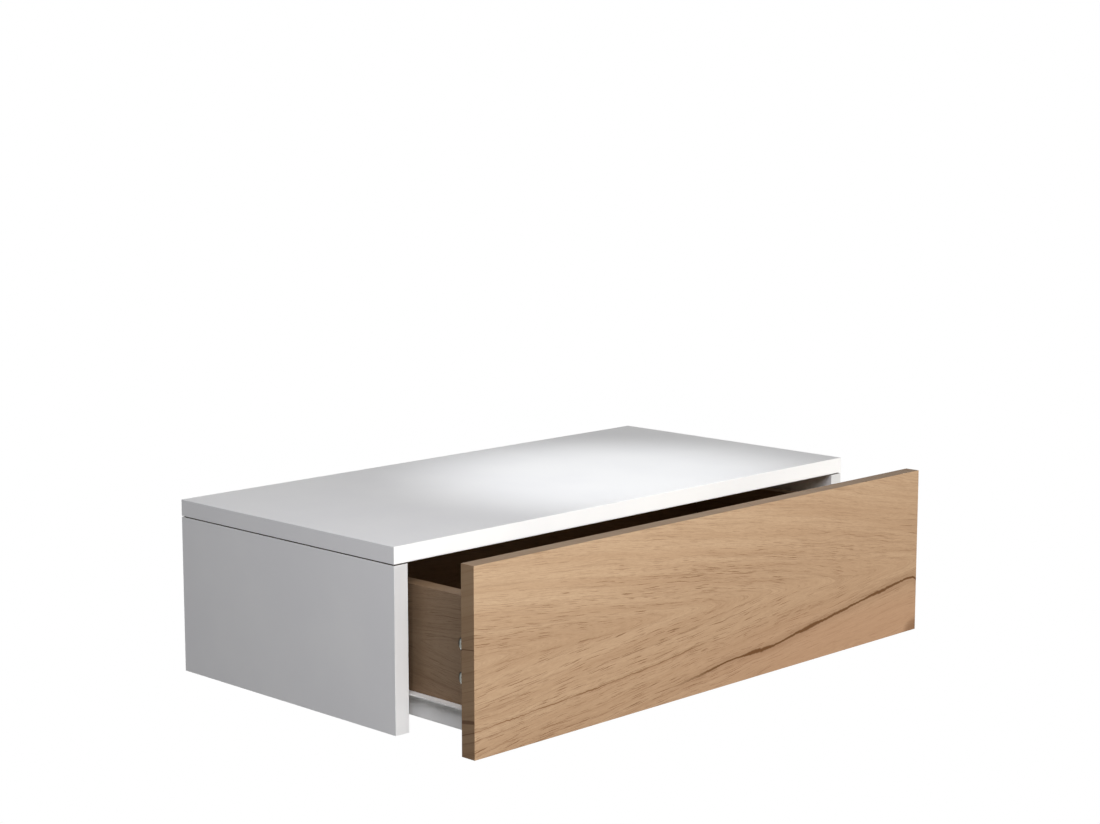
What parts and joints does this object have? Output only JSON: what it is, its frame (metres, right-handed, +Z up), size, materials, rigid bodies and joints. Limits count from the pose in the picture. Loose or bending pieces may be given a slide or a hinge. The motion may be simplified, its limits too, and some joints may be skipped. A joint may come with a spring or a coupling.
{
  "type": "floating nightstand",
  "caption": "Wall-hung nightstand: a white board cabinet, open below, with one full-overlay oak-look drawer on roller runners.",
  "frame": {"origin": "on the back's rear face, which lies on the wall, midway across and midway up the cabinet", "axes": "+X across the width, +Y into the wall, +Z up; the drawer opens along -Y"},
  "size_m": [0.72, 0.4641, 0.1924],
  "materials": {
    "white_board": "white melamine-faced board, fine satin",
    "oak_board": "natural oak decor, matt, grain across the width",
    "oak_thin_board": "thin board in the same oak decor, matt",
    "white_steel": "white epoxy-coated sheet steel, semi-gloss",
    "nylon_roller": "natural white nylon",
    "zinc_fitting": "bright zinc plate",
    "steel_screw": "zinc-plated steel",
    "beech_dowel": "plain beech",
    "clear_bumper": "clear silicone"
  },
  "bodies": {
    "cabinet": {"top_panel": "white_board", "side_panel_left": "white_board", "side_panel_right": "white_board", "back_panel": "white_board", "top_cam_left_front": "zinc_fitting", "top_cam_left_front_bolt": "zinc_fitting", "top_cam_left_rear": "zinc_fitting", "top_cam_left_rear_bolt": "zinc_fitting", "top_cam_right_front": "zinc_fitting", "top_cam_right_front_bolt": "zinc_fitting", "top_cam_right_rear": "zinc_fitting", "top_cam_right_rear_bolt": "zinc_fitting", "back_cam_left": "zinc_fitting", "back_cam_left_bolt": "zinc_fitting", "back_dowel_left": "beech_dowel", "hanger_plate_left": "zinc_fitting", "hanger_screw_left_inner": "steel_screw", "hanger_screw_left_outer": "steel_screw", "cabinet_rail_left": "white_steel", "cabinet_rail_screw_left_front": "steel_screw", "cabinet_rail_screw_left_rear": "steel_screw", "back_cam_right": "zinc_fitting", "back_cam_right_bolt": "zinc_fitting", "back_dowel_right": "beech_dowel", "hanger_plate_right": "zinc_fitting", "hanger_screw_right_inner": "steel_screw", "hanger_screw_right_outer": "steel_screw", "cabinet_rail_right": "white_steel", "cabinet_rail_screw_right_front": "steel_screw", "cabinet_rail_screw_right_rear": "steel_screw"},
    "drawer": {"drawer_front": "oak_board", "drawer_side_left": "oak_board", "drawer_side_right": "oak_board", "drawer_back": "oak_board", "drawer_bottom": "oak_thin_board", "drawer_cam_left_upper": "zinc_fitting", "drawer_cam_left_upper_bolt": "zinc_fitting", "drawer_back_screw_left_upper": "steel_screw", "drawer_cam_left_lower": "zinc_fitting", "drawer_cam_left_lower_bolt": "zinc_fitting", "drawer_back_screw_left_lower": "steel_screw", "drawer_bumper_left": "clear_bumper", "drawer_rail_left": "white_steel", "drawer_rail_screw_left_front": "steel_screw", "drawer_rail_screw_left_rear": "steel_screw", "drawer_cam_right_upper": "zinc_fitting", "drawer_cam_right_upper_bolt": "zinc_fitting", "drawer_back_screw_right_upper": "steel_screw", "drawer_cam_right_lower": "zinc_fitting", "drawer_cam_right_lower_bolt": "zinc_fitting", "drawer_back_screw_right_lower": "steel_screw", "drawer_bumper_right": "clear_bumper", "drawer_rail_right": "white_steel", "drawer_rail_screw_right_front": "steel_screw", "drawer_rail_screw_right_rear": "steel_screw"},
    "front_roller_left": {"cabinet_roller_left": "nylon_roller"},
    "rear_roller_left": {"drawer_roller_left": "nylon_roller"},
    "front_roller_right": {"cabinet_roller_right": "nylon_roller"},
    "rear_roller_right": {"drawer_roller_right": "nylon_roller"}
  },
  "joints": [
    {"name": "drawer_slide", "type": "slide", "parent": "cabinet", "child": "drawer", "axis": [0, -1, 0], "range_m": [-0.0935, 0.1315]},
    {"name": "front_roller_left_spin", "type": "hinge", "parent": "cabinet", "child": "front_roller_left", "pos_m": [-0.3356, -0.328, -0.06645], "axis": [1, 0, 0], "continuous": true},
    {"name": "rear_roller_left_spin", "type": "hinge", "parent": "drawer", "child": "rear_roller_left", "pos_m": [-0.3363, -0.1558, -0.06965], "axis": [1, 0, 0], "continuous": true},
    {"name": "front_roller_right_spin", "type": "hinge", "parent": "cabinet", "child": "front_roller_right", "pos_m": [0.3356, -0.328, -0.06645], "axis": [1, 0, 0], "continuous": true},
    {"name": "rear_roller_right_spin", "type": "hinge", "parent": "drawer", "child": "rear_roller_right", "pos_m": [0.3363, -0.1558, -0.06965], "axis": [1, 0, 0], "continuous": true}
  ],
  "couplings": [
    {"joint": "front_roller_left_spin", "follows": "drawer_slide", "rad_per_m": 125},
    {"joint": "rear_roller_left_spin", "follows": "drawer_slide", "rad_per_m": 125},
    {"joint": "front_roller_right_spin", "follows": "drawer_slide", "rad_per_m": 125},
    {"joint": "rear_roller_right_spin", "follows": "drawer_slide", "rad_per_m": 125}
  ]
}
